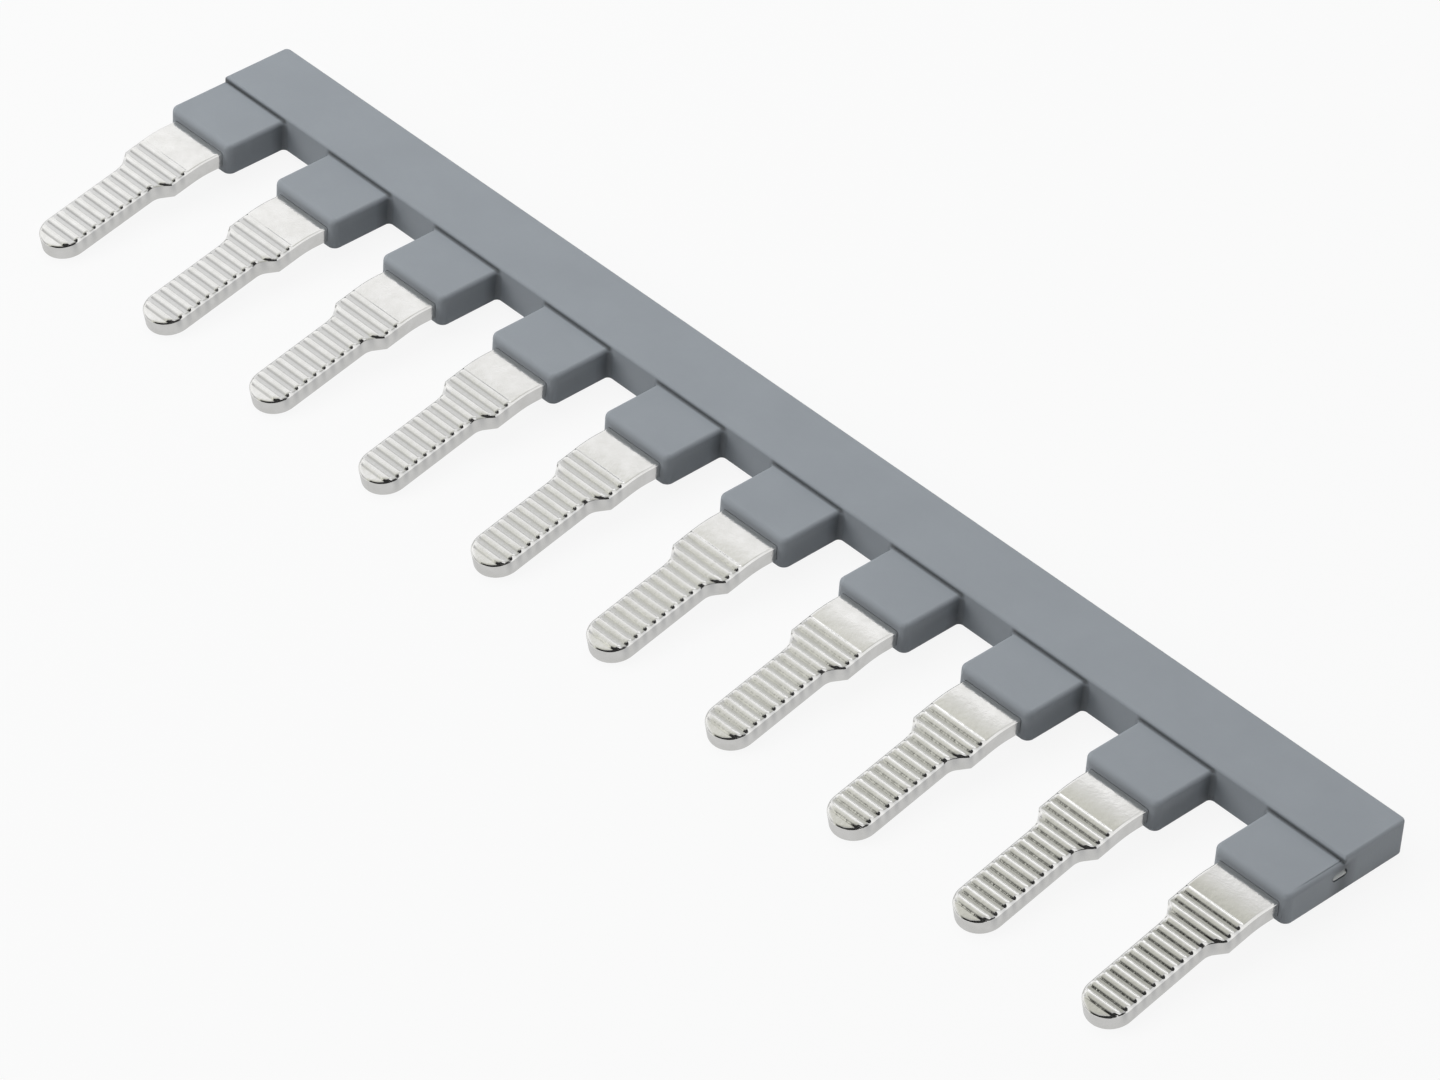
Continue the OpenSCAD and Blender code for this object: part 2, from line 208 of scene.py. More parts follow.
class TonguePlan:
    """Plan and heights of one tongue, from the sizes."""

    def __init__(self, s):
        self.s = s
        self.tongue_l = s.wide_l + s.flank_l + s.blade_l
        self.tip_r = s.blade_w / 2
        self.tip_u = self.tongue_l - self.tip_r
        self.bend_start = s.shoulder_d + s.lead_l
        self.bend_inner_r = s.bend_r - s.strip_t / 2
        self.bend_z = s.strip_z - self.bend_inner_r
        self.roll_r = (s.roll_w ** 2 + s.roll_d ** 2) / (2 * s.roll_d)
        self.slant = math.atan((s.tongue_w - s.blade_w) / 2 / s.flank_l)
        self.corner_u = s.wide_l + s.flank_l + s.flank_r * math.tan(self.slant / 2)
        self.corner_x = s.blade_w / 2 + s.flank_r
        self.ribs = [s.rib_start + i * s.rib_pitch for i in range(s.rib_count)]
        self.rib_foot = math.sqrt(s.rib_r ** 2 - (s.rib_r - s.rib_h) ** 2)

    def bar_frame(self):
        """Where the bar's own frame lies on the bench."""
        s, bend = self.s, self.s.bend_angle
        tip_y = -self.bend_start - self.tongue_l * math.cos(bend) - self.bend_inner_r * math.sin(bend)
        tip_z = self.bend_z - self.tongue_l * math.sin(bend) + self.bend_inner_r * math.cos(bend)
        lie = math.atan(-tip_z / (s.spine_w - tip_y))
        front = (s.spine_w - tip_y) / math.cos(lie) + (s.strip_t - s.roll_d) * math.sin(bend - lie)
        back = (s.spine_h - s.spine_edge_r) * math.sin(lie) + s.spine_edge_r * (1 - math.cos(lie))
        return (Matrix.Translation((0, (front - back) / 2, 0)) @ Matrix.Rotation(-lie, 4, "X")
                @ Matrix.Translation((0, -s.spine_w, 0)))

    def half_width(self, u):
        s = self.s
        if u > self.tip_u:
            return math.sqrt(max(self.tip_r ** 2 - (u - self.tip_u) ** 2, 0))
        if u <= s.wide_l:
            return s.tongue_w / 2
        if u > self.corner_u:
            return s.blade_w / 2
        if u > self.corner_u - s.flank_r * math.sin(self.slant):
            return self.corner_x - math.sqrt(s.flank_r ** 2 - (self.corner_u - u) ** 2)
        return s.tongue_w / 2 - (u - s.wide_l) * math.tan(self.slant)

    def from_edge(self, x, u):
        """Distance of a point on the tongue from its outline."""
        s, x = self.s, abs(x)
        if u > self.tip_u:
            return self.tip_r - math.hypot(x, u - self.tip_u)
        blade = s.blade_w / 2 - x
        wide = s.tongue_w / 2 - x
        if u > self.corner_u:
            return blade
        flank = wide * math.cos(self.slant) - (u - s.wide_l) * math.sin(self.slant)
        turn = math.atan2(self.corner_u - u, self.corner_x - x)
        if 0 < turn < self.slant:
            inner = math.hypot(self.corner_x - x, self.corner_u - u) - s.flank_r
        else:
            inner = max(flank, blade)
        return min(wide, inner)

    def on_flank(self, u):
        """How far a place lies on the narrowing flanks: 0 off them, 1 on them."""
        s = self.s
        start, blend = 0.15 * s.flank_l, 0.3 * s.flank_l
        rise = (u - s.wide_l - start) / blend
        fall = (self.corner_u + start - u) / blend
        return max(0.0, min(rise, fall, 1.0))

    def top(self, x, u):
        """Height of the tongue's top over its underside, with ribs that fall away at the rolled edges.

        u is None before the bend's end."""
        s = self.s
        inward = s.tongue_w / 2 - abs(x) if u is None else self.from_edge(x, u)
        d = min(max(inward, 0), s.roll_w)
        drop = self.roll_r - math.sqrt(self.roll_r ** 2 - (s.roll_w - d) ** 2)
        if u is None:
            return s.strip_t - drop
        h = s.strip_t - drop * (1 - s.flank_ease * self.on_flank(u))
        fall_l = 0.85 * s.rib_end
        past = max(s.rib_end - inward, 0.0) * self.rib_foot / fall_l
        for c in self.ribs:
            off = math.hypot(u - c, past)
            if off < s.rib_r:
                rise = s.rib_h - s.rib_r + math.sqrt(s.rib_r ** 2 - off ** 2)
                foot = max(rise + s.rib_soft, 0.0)
                h += rise if rise > s.rib_soft else foot * foot / (4 * s.rib_soft)
        return h

    def valley(self, u):
        """How deep a place lies between two ribs: 0 on a rib, 1 half way to the next."""
        if not self.ribs[0] < u < self.ribs[-1]:
            return 0.0
        off = min(abs(u - c) for c in self.ribs)
        start, blend = 0.35 * self.rib_foot, 0.8 * self.rib_foot
        return min(max((off - start) / blend, 0.0), 1.0)

    def place(self, stage, at, x, h):
        """Point of the strip in the bar's frame, on its straight root, in its bend or on its blade."""
        if stage == "root":
            return Vector((x, at, self.s.strip_z + h))
        turn = at if stage == "bend" else self.s.bend_angle
        u = at if stage == "blade" else 0
        r = self.bend_inner_r + h
        return Vector((x, -self.bend_start - r * math.sin(turn) - u * math.cos(turn),
                       self.bend_z + r * math.cos(turn) - u * math.sin(turn)))

    def rows(self):
        """Cross rows of the mesh, from the bus strip to the tip, closest on the ribs' feet."""
        s = self.s
        inside = 0.4 * MM
        closest, closest_tip = 0.01 * MM, 0.02 * MM
        rows = [("root", s.bus_inset + s.bus_w / 2), ("root", 0.0), ("root", -s.shoulder_d + inside)]
        rows += [("root", -s.shoulder_d - s.lead_l * t) for t in LEAD_SHARES]
        rows += [("bend", s.bend_angle * (i + 1) / BEND_STEPS) for i in range(BEND_STEPS)]
        beside = [self.rib_foot * t for t in RIB_SHARES]
        last = 0.0
        for c in self.ribs:
            for off in [-b for b in beside] + [0.0] + beside[::-1]:
                if last + closest < c + off:
                    last = c + off
                    rows.append(("blade", last))
        tip = [self.tip_u + self.tip_r * math.sin(math.radians(a)) for a in TIP_ANGLES]
        rows += [("blade", u) for u in tip if u > last + closest_tip]
        return rows

    def columns(self, half):
        """Places across a row: close together on the rolled edges, wide apart on the flat."""
        roll_w = self.s.roll_w
        steps = [roll_w * t for t in ROLL_SHARES] + [roll_w + d for d in RIB_END_COLUMNS]
        k = min(1.0, half / self.tip_r)
        side = [half - step * k for step in steps]
        flat = [side[-1] * t for t in FLAT_SHARES]
        return [-x for x in side + flat] + [0.0] + (side + flat)[::-1]


def new_piece(name, bm, material, replaces):
    """Turns a bmesh into a piece that rides with the bar and stands for one of its solids."""
    mesh = bpy.data.meshes.new(name)
    bm.to_mesh(mesh)
    bm.free()
    mesh.materials.append(material)
    piece = bpy.data.objects.new(name, mesh)
    bpy.context.scene.collection.objects.link(piece)
    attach(piece, "root")
    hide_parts(replaces)
    return piece


def near(a, b):
    return abs(a - b) < SAME


def made_verts(made):
    """Corners that an extrusion or a copy has made."""
    return [v for v in made["geom"] if isinstance(v, bmesh.types.BMVert)]


def cut_at(bm, geom, place, normal):
    """Cuts faces, edges and corners along a plane."""
    bmesh.ops.bisect_plane(bm, geom=geom, dist=CUT, plane_co=place, plane_no=normal)


def comb_plan(bm, s):
    """Outline of the moulding from above: a strip with a tab for every way, corners rounded."""
    bar_l = (s.ways - 1) * s.pitch + s.shoulder_w
    bmesh.ops.create_grid(bm, x_segments=1, y_segments=1, size=0.5)
    bmesh.ops.scale(bm, vec=(bar_l, s.spine_w, 1), verts=bm.verts)
    bmesh.ops.translate(bm, vec=(0, s.spine_w / 2, 0), verts=bm.verts)
    centres = [(i - (s.ways - 1) / 2) * s.pitch for i in range(s.ways)]
    for x in centres:
        for side in (-1, 1):
            whole = bm.verts[:] + bm.edges[:] + bm.faces[:]
            cut_at(bm, whole, (x + side * s.shoulder_w / 2, 0, 0), (1, 0, 0))
    tabs = []
    for e in bm.edges:
        a, b = (v.co for v in e.verts)
        if near(a.y, 0) and near(b.y, 0) and any(abs((a.x + b.x) / 2 - x) < MM for x in centres):
            tabs.append(e)
    made = bmesh.ops.extrude_edge_only(bm, edges=tabs)
    bmesh.ops.translate(bm, vec=(0, -s.shoulder_d, 0), verts=made_verts(made))
    bmesh.ops.dissolve_limit(bm, angle_limit=math.radians(1), verts=bm.verts[:], edges=bm.edges[:])
    end = bar_l / 2
    rounds = [
        (s.shoulder_corner_r, [v for v in bm.verts if near(v.co.y, -s.shoulder_d)]),
        (s.spine_corner_r, [v for v in bm.verts if near(v.co.y, s.spine_w)]),
        (s.shoulder_fillet_r, [v for v in bm.verts if near(v.co.y, 0) and not near(abs(v.co.x), end)]),
    ]
    for r, verts in rounds:
        bmesh.ops.bevel(bm, geom=verts, affect="VERTICES", offset=r, offset_type="OFFSET",
                        segments=CORNER_STEPS, profile=0.5, material=-1, clamp_overlap=True)
    return centres, end


def rim_of(face, radius):
    """Corners of a flat top face: place, way out of the face in plan, and the radius of the rim there."""
    rim = []
    for loop in face.loops:
        here = loop.vert.co.copy()
        sides = []
        for edge in (loop.link_loop_prev, loop):
            a, b = edge.vert.co, edge.link_loop_next.vert.co
            if not (near(a.y, 0) and near(b.y, 0) and face.calc_center_median().y < 0):
                sides.append(Vector((b.y - a.y, a.x - b.x, 0)).normalized())
        out = sum(sides, Vector()) / (1 + sides[0].dot(sides[-1]))
        rim.append((here, out if len(sides) == 2 else sides[0], radius(here, out)))
    return rim


def round_top(bm, face, level, radius):
    """Lifts a flat top face to a level and rounds its rim."""
    if face.normal.z < 0:
        raise RuntimeError("a top face points down")
    rim = rim_of(face, radius)
    for i in range(CORNER_STEPS + 1):
        turn = math.pi / 2 * i / CORNER_STEPS
        face = bmesh.ops.extrude_discrete_faces(bm, faces=[face])["faces"][0]
        for v, (here, out, r) in zip(face.verts, rim):
            v.co = here - out * r * (1 - math.cos(turn))
            v.co.z = level - r * (1 - math.sin(turn))
    return face


class JUMPERBAR_OT_moulded_body(Operator):
    """Mould the grey spine with a shoulder for every tongue"""

    bl_idname = "jumperbar.moulded_body"
    bl_label = "Moulded Body"

    def execute(self, context):
        s = sizes()
        plan = TonguePlan(s)
        bm = bmesh.new()
        torn = bm.verts.layers.float.new("torn")
        centres, end = comb_plan(bm, s)
        if len(bm.faces) != 1:
            raise RuntimeError("the outline of the moulding isn't one face")
        below_rim = 0.05 * MM
        wall = s.shoulder_h - s.shoulder_front_r - below_rim
        made = bmesh.ops.extrude_face_region(bm, geom=bm.faces[:], use_keep_orig=True)
        bmesh.ops.translate(bm, vec=(0, 0, wall), verts=made_verts(made))
        bmesh.ops.recalc_face_normals(bm, faces=bm.faces[:])
        self.soften_foot(bm, s)
        self.cut_slots(bm, s, plan, centres)
        self.cut_gate(bm, s, end, torn)
        self.lift_tops(bm, s, wall)
        bmesh.ops.remove_doubles(bm, verts=bm.verts[:], dist=WELD)
        bmesh.ops.recalc_face_normals(bm, faces=bm.faces[:])
        bmesh.ops.transform(bm, matrix=plan.bar_frame(), verts=bm.verts)
        for f in bm.faces:
            f.smooth = True
        piece = new_piece("moulded_body", bm, plastic_material(), "insulating_body")
        piece.data.set_sharp_from_angle(angle=math.radians(30))
        flat = piece.modifiers.new("Flat faces", "WEIGHTED_NORMAL")
        flat.keep_sharp = True
        return {"FINISHED"}

    def soften_foot(self, bm, s):
        """Takes the sharpness off the bottom edges."""
        foot = [e for e in bm.edges if all(near(v.co.z, 0) for v in e.verts)]
        bmesh.ops.bevel(bm, geom=foot, affect="EDGES", offset=s.foot_r, offset_type="OFFSET",
                        segments=FOOT_STEPS, profile=0.5, material=-1, clamp_overlap=False)

    def lift_tops(self, bm, s, wall):
        """Splits the top along the spine's front, then lifts and rounds the spine and the shoulders."""
        tops = [f for f in bm.faces if all(near(v.co.z, wall) for v in f.verts)]
        geom = tops + [e for f in tops for e in f.edges] + [v for f in tops for v in f.verts]
        cut_at(bm, list(set(geom)), (0, 0, 0), (0, 1, 0))
        for f in [f for f in bm.faces if all(near(v.co.z, wall) for v in f.verts)]:
            if f.calc_center_median().y > 0:
                round_top(bm, f, s.spine_h, lambda here, out: s.spine_edge_r)
            else:
                top = round_top(bm, f, s.shoulder_h, lambda here, out: self.shoulder_rim(s, here, out))
                self.crease(bm, s, top)

    def crease(self, bm, s, top):
        """Sinks the back of a shoulder's top where it meets the spine."""
        cut_at(bm, [top] + top.edges[:] + top.verts[:], (0, -s.crease, 0), (0, 1, 0))
        for v in {v for f in bm.faces if near(f.calc_center_median().z, s.shoulder_h) for v in f.verts}:
            if near(v.co.y, 0):
                v.co.z -= s.crease

    def shoulder_rim(self, s, here, out):
        """Radius of a shoulder's rim: widest in front."""
        front = max(0.0, -out.y) ** 2 if here.y < -s.shoulder_d / 2 else 0.0
        return s.shoulder_side_r + (s.shoulder_front_r - s.shoulder_side_r) * min(front, 1.0)

    def cut_slots(self, bm, s, plan, centres):
        """Sinks the slot of every tongue into its shoulder's front face, rolled at the top like the strip."""
        inset, rolled = 0.2 * MM, len(ROLL_SHARES)
        fronts = [f for f in bm.faces
                  if f.normal.y < -FACING and near(f.calc_center_median().y, -s.shoulder_d)]
        if len(fronts) != s.ways:
            raise RuntimeError("a shoulder has no front face")
        bmesh.ops.inset_individual(bm, faces=fronts, thickness=inset)
        lids = [max(f.edges, key=lambda e: e.verts[0].co.z + e.verts[1].co.z) for f in fronts]
        bmesh.ops.subdivide_edges(bm, edges=lids, cuts=2 * rolled - 2)
        for f in fronts:
            x = min(centres, key=lambda c: abs(c - f.calc_center_median().x))
            upper = max(v.co.z for v in f.verts)
            lid = sorted((v for v in f.verts if near(v.co.z, upper)), key=lambda v: v.co.x)
            floor = [v for v in f.verts if v not in lid]
            across = plan.columns(s.tongue_w / 2)
            for v, at in zip(lid, across[:rolled] + across[-rolled:]):
                v.co.x = x + at + math.copysign(s.insert_gap, at)
                v.co.z = s.strip_z + plan.top(at, None) + s.insert_gap
            for v in floor:
                v.co.x = x + math.copysign(s.tongue_w / 2 + s.insert_gap, v.co.x - x)
                v.co.z = s.strip_z - s.insert_gap
        made = bmesh.ops.extrude_discrete_faces(bm, faces=fronts)
        deep = {v for f in made["faces"] for v in f.verts}
        bmesh.ops.translate(bm, vec=(0, s.slot_d, 0), verts=list(deep))

    def cut_gate(self, bm, s, end, torn):
        """Sinks the slot where the moulding gate broke off into one end face, with a torn stub in it."""
        face = max((f for f in bm.faces if f.normal.x > FACING and near(f.calc_center_median().x, end)),
                   key=lambda f: f.calc_area())
        lowest = min(v.co.z for v in face.verts)
        foot = min((v for v in face.verts if near(v.co.z, lowest)), key=lambda v: v.co.y)
        crown = max((v for v in face.verts if not near(v.co.z, lowest)), key=lambda v: v.co.y)
        r = s.gate_h / 2
        reach = s.gate_w / 2 - r
        arc_steps = 8
        turns = [math.pi * i / arc_steps for i in range(arc_steps + 1)]
        stub_gap = s.gate_h / 8

        def arc(side):
            return [Vector((end, side * (reach + r * math.sin(t)) - s.gate_y, s.gate_z - r * math.cos(t)))
                    for t in turns]

        ahead, behind = arc(-1), arc(1)
        bmesh.utils.face_split(face, foot, crown, coords=ahead)
        low, high = (min(bm.verts, key=lambda v: (v.co - p).length) for p in (ahead[0], ahead[-1]))
        rest = next(f for f in low.link_faces
                    if high in f.verts and any(near(v.co.z, lowest) and v.co.y > 0 for v in f.verts))
        bmesh.utils.face_split(rest, low, high, coords=behind)
        pocket = next(f for f in low.link_faces if high in f.verts and len(f.verts) == 2 * len(turns))
        floor = bmesh.ops.extrude_discrete_faces(bm, faces=[pocket])["faces"][0]
        bmesh.ops.translate(bm, vec=(-s.gate_depth, 0, 0), verts=floor.verts[:])
        bmesh.ops.inset_individual(bm, faces=[floor], thickness=stub_gap)
        stub = bmesh.ops.extrude_discrete_faces(bm, faces=[floor])["faces"][0]
        for v in stub.verts:
            v.co.x += s.stub_out * s.gate_depth
            v.co.z = s.gate_z - s.stub_low * r + s.stub_h * (v.co.z - s.gate_z)
            v[torn] = 1.0


class JUMPERBAR_OT_contact_comb(Operator):
    """Stamp the bright comb: bent, narrowed and ribbed tongues on one bus strip"""

    bl_idname = "jumperbar.contact_comb"
    bl_label = "Contact Comb"

    def execute(self, context):
        s = sizes()
        plan = TonguePlan(s)
        bm = bmesh.new()
        self.tongue(bm, plan)
        one = bm.verts[:] + bm.edges[:] + bm.faces[:]
        for i in range(s.ways):
            x = (i - (s.ways - 1) / 2) * s.pitch
            copy = bmesh.ops.duplicate(bm, geom=one)
            bmesh.ops.translate(bm, vec=(x, 0, 0), verts=made_verts(copy))
        bmesh.ops.delete(bm, geom=one, context="VERTS")
        bus = bmesh.ops.create_cube(bm, size=1.0)["verts"]
        bmesh.ops.scale(bm, vec=((s.ways - 1) * s.pitch + s.tongue_w, s.bus_w, s.strip_t), verts=bus)
        bmesh.ops.translate(bm, vec=(0, s.bus_inset + s.bus_w / 2, s.strip_z + s.strip_t / 2), verts=bus)
        bmesh.ops.transform(bm, matrix=plan.bar_frame(), verts=bm.verts)
        bmesh.ops.recalc_face_normals(bm, faces=bm.faces[:])
        for f in bm.faces:
            f.smooth = True
        piece = new_piece("contact_tongues", bm, plating_material(), "contact_comb")
        piece.data.set_sharp_from_angle(angle=math.radians(32))
        return {"FINISHED"}

    def tongue(self, bm, plan):
        """Draws a flat net, thickens it and bends it to the form of one tongue."""
        valley = bm.verts.layers.float.new("valley")
        rows = plan.rows()
        across = len(plan.columns(1.0)) - 1
        along = len(rows) - 1
        bmesh.ops.create_grid(bm, x_segments=across, y_segments=along, size=0.5)
        bmesh.ops.scale(bm, vec=(across, along, 1), verts=bm.verts)
        bmesh.ops.translate(bm, vec=(across / 2, along / 2, 1), verts=bm.verts)
        made = bmesh.ops.extrude_face_region(bm, geom=bm.faces[:], use_keep_orig=True)
        bmesh.ops.translate(bm, vec=(0, 0, -1), verts=made_verts(made))
        spare = [e for e in bm.edges if all(v.co.z < 0.5 for v in e.verts)
                 and abs(e.verts[0].co.x - e.verts[1].co.x) < 0.5 and 0.5 < e.verts[0].co.x < across - 0.5]
        bmesh.ops.dissolve_edges(bm, edges=spare, use_verts=True)
        for v in bm.verts:
            stage, at = rows[round(v.co.y)]
            u = at if stage == "blade" else None
            half = plan.s.tongue_w / 2 if u is None else plan.half_width(u)
            x = plan.columns(half)[round(v.co.x)]
            upper = v.co.z > 0.5
            # The valley mask carries the painted shade between the ribs
            v[valley] = plan.valley(u) if upper and u is not None else 0.0
            v.co = plan.place(stage, at, x, plan.top(x, u) if upper else 0.0)


def clouds_group():
    """Shared effect: broad clouds and fine grain over a surface, in its own coordinates."""
    group = bpy.data.node_groups.get("Clouds and grain")
    if group:
        return group
    group = bpy.data.node_groups.new("Clouds and grain", "ShaderNodeTree")
    face = group.interface
    face.new_socket("Vector", in_out="INPUT", socket_type="NodeSocketVector")
    face.new_socket("Cloud Scale", in_out="INPUT", socket_type="NodeSocketFloat")
    face.new_socket("Grain Scale", in_out="INPUT", socket_type="NodeSocketFloat")
    face.new_socket("Clouds", in_out="OUTPUT", socket_type="NodeSocketFloat")
    face.new_socket("Grain", in_out="OUTPUT", socket_type="NodeSocketFloat")
    nodes, links = group.nodes, group.links
    inp = nodes.new("NodeGroupInput")
    out = nodes.new("NodeGroupOutput")
    broad = nodes.new("ShaderNodeTexNoise")
    broad.inputs["Detail"].default_value = 3.0
    broad.inputs["Roughness"].default_value = 0.55
    fine = nodes.new("ShaderNodeTexNoise")
    fine.inputs["Detail"].default_value = 2.0
    fine.inputs["Roughness"].default_value = 0.6
    links.new(inp.outputs["Vector"], broad.inputs["Vector"])
    links.new(inp.outputs["Vector"], fine.inputs["Vector"])
    links.new(inp.outputs["Cloud Scale"], broad.inputs["Scale"])
    links.new(inp.outputs["Grain Scale"], fine.inputs["Scale"])
    links.new(broad.outputs["Fac"], out.inputs["Clouds"])
    links.new(fine.outputs["Fac"], out.inputs["Grain"])
    return group


def clouds(nodes, links, place, cloud_scale, grain_scale):
    """The shared clouds and grain, placed in a material with scales of its own."""
    node = nodes.new("ShaderNodeGroup")
    node.node_tree = clouds_group()
    node.inputs["Cloud Scale"].default_value = cloud_scale
    node.inputs["Grain Scale"].default_value = grain_scale
    links.new(place, node.inputs["Vector"])
    return node.outputs["Clouds"], node.outputs["Grain"]


def new_material(name):
    material = bpy.data.materials.new(name)
    material.use_nodes = True
    return material, material.node_tree.nodes, material.node_tree.links


def ramp(nodes, links, source, low, high, to_low, to_high):
    """Maps a value from one range to another."""
    node = nodes.new("ShaderNodeMapRange")
    node.inputs["From Min"].default_value = low
    node.inputs["From Max"].default_value = high
    node.inputs["To Min"].default_value = to_low
    node.inputs["To Max"].default_value = to_high
    links.new(source, node.inputs["Value"])
    return node.outputs["Result"]


def toned(nodes, links, mask, tone, second):
    """Mixes a second colour by a mask over a tone, which is a colour or the output of another node."""
    mix = nodes.new("ShaderNodeMix")
    mix.data_type = "RGBA"
    links.new(mask, mix.inputs["Factor"])
    if isinstance(tone, bpy.types.NodeSocket):
        links.new(tone, mix.inputs["A"])
    else:
        mix.inputs["A"].default_value = (*tone, 1)
    mix.inputs["B"].default_value = (*second, 1)
    return mix.outputs["Result"]


def painted(nodes, name):
    """Mask that the mesh of a piece holds."""
    node = nodes.new("ShaderNodeAttribute")
    node.attribute_name = name
    return node.outputs["Fac"]


def relief(nodes, links, height, strength, depth, under=None):
    """Normal of a surface with a fine relief, which may lie on another."""
    node = nodes.new("ShaderNodeBump")
    node.inputs["Strength"].default_value = strength
    node.inputs["Distance"].default_value = depth
    links.new(height, node.inputs["Height"])
    if under:
        links.new(under, node.inputs["Normal"])
    return node.outputs["Normal"]


def maths(nodes, links, operation, first, second):
    """Result of a sum; its terms are numbers or the outputs of other nodes."""
    node = nodes.new("ShaderNodeMath")
    node.operation = operation
    for term, socket in zip((first, second), node.inputs):
        if isinstance(term, bpy.types.NodeSocket):
            links.new(term, socket)
        else:
            socket.default_value = term
    return node.outputs[0]


def painted_corner_shade(nodes, links, place):
    """Mask of painted shade in the corners: the foot of the step, and the shoulders' sides close to the
    spine.
    """
    s = sizes()
    seam_core, side_core = 0.35 * s.shade_w, 0.1 * s.shade_side
    side_narrow, side_depth = 3.0, 0.8
    from_bench = TonguePlan(s).bar_frame().inverted()
    bar = nodes.new("ShaderNodeMapping")
    bar.inputs["Location"].default_value = from_bench.to_translation()
    bar.inputs["Rotation"].default_value = from_bench.to_euler()
    links.new(place, bar.inputs["Vector"])
    split = nodes.new("ShaderNodeSeparateXYZ")
    links.new(bar.outputs["Vector"], split.inputs["Vector"])
    x, y, z = split.outputs
    from_first = maths(nodes, links, "ADD", x, (s.ways - 1) / 2 * s.pitch)
    from_way = maths(nodes, links, "PINGPONG", from_first, s.pitch / 2)

    def reach(a, b):
        squares = [maths(nodes, links, "MULTIPLY", t, t) for t in (a, b)]
        return maths(nodes, links, "SQRT", maths(nodes, links, "ADD", *squares), 0.0)

    above = maths(nodes, links, "SUBTRACT", z, s.shoulder_h)
    seam = ramp(nodes, links, reach(y, above), seam_core, s.shade_w, 1.0, 0.0)
    over = ramp(nodes, links, from_way, s.shoulder_w / 2, s.shoulder_w / 2 + s.shoulder_fillet_r, 1.0, 0.0)
    aside = maths(nodes, links, "SUBTRACT", from_way, s.shoulder_w / 2)
    wide = maths(nodes, links, "MULTIPLY", aside, side_narrow)
    side = ramp(nodes, links, reach(wide, y), side_core, s.shade_side, side_depth, 0.0)
    below = ramp(nodes, links, above, -s.shoulder_side_r, 0.0, 1.0, 0.0)
    return maths(nodes, links, "MAXIMUM", maths(nodes, links, "MULTIPLY", seam, over),
                 maths(nodes, links, "MULTIPLY", side, below))


def plastic_material():
    """Matte grey moulding with a fine eroded texture."""
    f = finish()
    material, nodes, links = new_material("grey_moulding")
    shader = nodes["Principled BSDF"]
    place = nodes.new("ShaderNodeTexCoord").outputs["Object"]
    cloud, grain = clouds(nodes, links, place, cloud_scale=220.0, grain_scale=5200.0)
    tone = toned(nodes, links, ramp(nodes, links, cloud, 0.3, 0.7, 0.0, 1.0), f.plastic, f.plastic_pale)
    # Painted shade darkens the foot of the step and the shoulders' sides next to the spine
    tone = toned(nodes, links, painted_corner_shade(nodes, links, place), tone, f.plastic_painted_shade)
    tone = toned(nodes, links, painted(nodes, "torn"), tone, f.plastic_torn)
    links.new(tone, shader.inputs["Base Color"])
    uneven = 0.06
    rough = ramp(nodes, links, grain, 0.2, 0.8, f.plastic_rough - uneven, f.plastic_rough + uneven)
    links.new(rough, shader.inputs["Roughness"])
    shader.inputs["Specular IOR Level"].default_value = 0.4
    eroded = relief(nodes, links, grain, strength=0.35, depth=0.02 * MM)
    links.new(eroded, shader.inputs["Normal"])
    return material


def plating_material():
    """Bright plating, a little uneven over the stamped copper, with painted shade between the ribs."""
    f = finish()
    material, nodes, links = new_material("bright_plating")
    shader = nodes["Principled BSDF"]
    shader.inputs["Metallic"].default_value = 1.0
    place = nodes.new("ShaderNodeTexCoord").outputs["Object"]
    cloud, grain = clouds(nodes, links, place, cloud_scale=900.0, grain_scale=2400.0)
    tone = toned(nodes, links, ramp(nodes, links, cloud, 0.35, 0.65, 0.0, 1.0), f.plating, f.plating_dull)
    # Painted shade: the plating is darker between the ribs
    tone = toned(nodes, links, painted(nodes, "valley"), tone, f.plating_painted_shade)
    links.new(tone, shader.inputs["Base Color"])
    smoother, rougher = 0.03, 0.05
    rough = ramp(nodes, links, cloud, 0.3, 0.7, f.plating_rough - smoother, f.plating_rough + rougher)
    links.new(rough, shader.inputs["Roughness"])
    waves = relief(nodes, links, cloud, strength=0.22, depth=0.03 * MM)
    ripple = relief(nodes, links, grain, strength=0.8, depth=0.012 * MM, under=waves)
    links.new(ripple, shader.inputs["Normal"])
    return material


def mixed(nodes, links, mask, first, second):
    """Mixes two shaders by a mask."""
    mix = nodes.new("ShaderNodeMixShader")
    links.new(mask, mix.inputs["Fac"])
    links.new(first, mix.inputs[1])
    links.new(second, mix.inputs[2])
    return mix.outputs["Shader"]


def floor_material():
    """White floor that stays white in the picture and in the metal, with a soft shadow."""
    st = studio()
    material, nodes, links = new_material("white_floor")
    shader = nodes["Principled BSDF"]
    shader.inputs["Base Color"].default_value = (*st.floor_colour, 1)
    shader.inputs["Roughness"].default_value = 0.9
    shader.inputs["Specular IOR Level"].default_value = 0.1
    path = nodes.new("ShaderNodeLightPath").outputs
    seen = maths(nodes, links, "MAXIMUM", path["Is Camera Ray"], path["Is Transmission Ray"])
    mirrored = maths(nodes, links, "MULTIPLY", path["Is Glossy Ray"], st.floor_mirrored)
    glow = nodes.new("ShaderNodeEmission")
    links.new(maths(nodes, links, "ADD", seen, mirrored), glow.inputs["Strength"])
    shown = maths(nodes, links, "MAXIMUM", seen, path["Is Glossy Ray"])
    part = maths(nodes, links, "MULTIPLY", shown, st.floor_glow)
    surface = mixed(nodes, links, part, shader.outputs["BSDF"], glow.outputs["Emission"])
    links.new(surface, nodes["Material Output"].inputs["Surface"])
    return material


